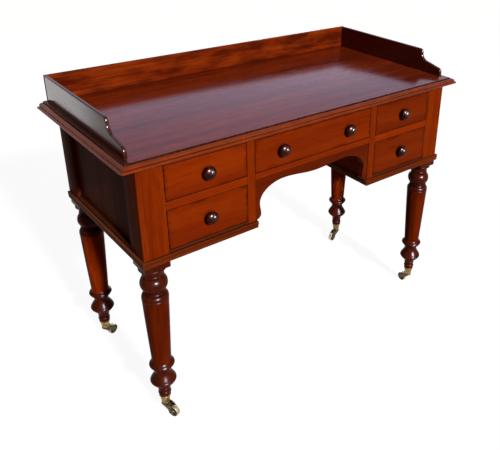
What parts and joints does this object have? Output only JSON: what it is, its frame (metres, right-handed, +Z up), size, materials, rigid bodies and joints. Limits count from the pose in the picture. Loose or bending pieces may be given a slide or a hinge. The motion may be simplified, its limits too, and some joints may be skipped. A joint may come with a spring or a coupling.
{
  "type": "writing table",
  "caption": "Kneehole writing table with a galleried top, drawers with turned knobs, a shaped apron and turned legs on swivelling brass castors.",
  "frame": {"origin": "on the floor, at the middle of the table's length and depth", "axes": "+X along the front to the right, +Y from the front to the back, +Z up"},
  "size_m": [1.076, 0.495, 0.818],
  "materials": {
    "mahogany": "French-polished mahogany, glossy, with darker edges",
    "leg_mahogany": "French-polished dark red mahogany, glossy",
    "knob_wood": "turned and stained nearly black, polished",
    "lining": "unpolished pale drawer lining, planed",
    "brass": "aged cast brass, dulled",
    "wheel_brass": "turned brass wheel, worn and darkened"
  },
  "bodies": {
    "carcase": {"top_board": "mahogany", "gallery_back": "mahogany", "gallery_left": "mahogany", "gallery_right": "mahogany", "end_panel_left": "mahogany", "end_panel_right": "mahogany", "back_rail": "lining", "pedestal_back_left": "lining", "pedestal_back_right": "lining", "inner_side_left": "mahogany", "inner_side_right": "mahogany", "top_rail": "mahogany", "drawer_rail_left": "mahogany", "drawer_rail_right": "mahogany", "drawer_rail_centre": "mahogany", "dust_board_left": "lining", "dust_board_right": "lining", "dust_board_centre": "lining", "pedestal_bottom_left": "mahogany", "pedestal_bottom_right": "mahogany", "apron": "mahogany", "base_moulding_left": "mahogany", "base_moulding_right": "mahogany", "leg_front_left": "leg_mahogany", "leg_back_left": "leg_mahogany", "leg_front_right": "leg_mahogany", "leg_back_right": "leg_mahogany", "castor_cup_front_left": "brass", "castor_cup_back_left": "brass", "castor_cup_front_right": "brass", "castor_cup_back_right": "brass"},
    "drawer_upper_left": {"drawer_front_upper_left": "mahogany", "drawer_box_upper_left": "lining", "drawer_bottom_upper_left": "lining", "knob_upper_left": "knob_wood"},
    "drawer_lower_left": {"drawer_front_lower_left": "mahogany", "drawer_box_lower_left": "lining", "drawer_bottom_lower_left": "lining", "knob_lower_left": "knob_wood"},
    "drawer_centre": {"drawer_front_centre": "mahogany", "drawer_box_centre": "lining", "drawer_bottom_centre": "lining", "knob_centre_left": "knob_wood", "knob_centre_right": "knob_wood"},
    "drawer_upper_right": {"drawer_front_upper_right": "mahogany", "drawer_box_upper_right": "lining", "drawer_bottom_upper_right": "lining", "knob_upper_right": "knob_wood"},
    "drawer_lower_right": {"drawer_front_lower_right": "mahogany", "drawer_box_lower_right": "lining", "drawer_bottom_lower_right": "lining", "knob_lower_right": "knob_wood"},
    "castor_front_left": {"castor_horn_front_left": "brass"},
    "wheel_front_left": {"castor_wheel_front_left": "wheel_brass"},
    "castor_back_left": {"castor_horn_back_left": "brass"},
    "wheel_back_left": {"castor_wheel_back_left": "wheel_brass"},
    "castor_front_right": {"castor_horn_front_right": "brass"},
    "wheel_front_right": {"castor_wheel_front_right": "wheel_brass"},
    "castor_back_right": {"castor_horn_back_right": "brass"},
    "wheel_back_right": {"castor_wheel_back_right": "wheel_brass"}
  },
  "joints": [
    {"name": "drawer_upper_left_slide", "type": "slide", "parent": "carcase", "child": "drawer_upper_left", "axis": [0, -1, 0], "range_m": [0, 0.3]},
    {"name": "drawer_lower_left_slide", "type": "slide", "parent": "carcase", "child": "drawer_lower_left", "axis": [0, -1, 0], "range_m": [0, 0.3]},
    {"name": "drawer_centre_slide", "type": "slide", "parent": "carcase", "child": "drawer_centre", "axis": [0, -1, 0], "range_m": [0, 0.3]},
    {"name": "drawer_upper_right_slide", "type": "slide", "parent": "carcase", "child": "drawer_upper_right", "axis": [0, -1, 0], "range_m": [0, 0.3]},
    {"name": "drawer_lower_right_slide", "type": "slide", "parent": "carcase", "child": "drawer_lower_right", "axis": [0, -1, 0], "range_m": [0, 0.3]},
    {"name": "castor_front_left_swivel", "type": "hinge", "parent": "carcase", "child": "castor_front_left", "pos_m": [-0.468, -0.193, 0.037], "axis": [0, 0, 1], "continuous": true},
    {"name": "wheel_front_left_spin", "type": "hinge", "parent": "castor_front_left", "child": "wheel_front_left", "pos_m": [-0.45786, -0.21475, 0.01569], "axis": [0.9063, 0.4226, 0], "continuous": true},
    {"name": "castor_back_left_swivel", "type": "hinge", "parent": "carcase", "child": "castor_back_left", "pos_m": [-0.468, 0.185, 0.037], "axis": [0, 0, 1], "continuous": true},
    {"name": "wheel_back_left_spin", "type": "hinge", "parent": "castor_back_left", "child": "wheel_back_left", "pos_m": [-0.44545, 0.19321, 0.01569], "axis": [-0.342, 0.9397, 0], "continuous": true},
    {"name": "castor_front_right_swivel", "type": "hinge", "parent": "carcase", "child": "castor_front_right", "pos_m": [0.468, -0.193, 0.037], "axis": [0, 0, 1], "continuous": true},
    {"name": "wheel_front_right_spin", "type": "hinge", "parent": "castor_front_right", "child": "wheel_front_right", "pos_m": [0.468, -0.169, 0.01569], "axis": [-1, 0, 0], "continuous": true},
    {"name": "castor_back_right_swivel", "type": "hinge", "parent": "carcase", "child": "castor_back_right", "pos_m": [0.468, 0.185, 0.037], "axis": [0, 0, 1], "continuous": true},
    {"name": "wheel_back_right_spin", "type": "hinge", "parent": "castor_back_right", "child": "wheel_back_right", "pos_m": [0.44437, 0.18083, 0.01569], "axis": [0.1736, -0.9848, 0], "continuous": true}
  ]
}
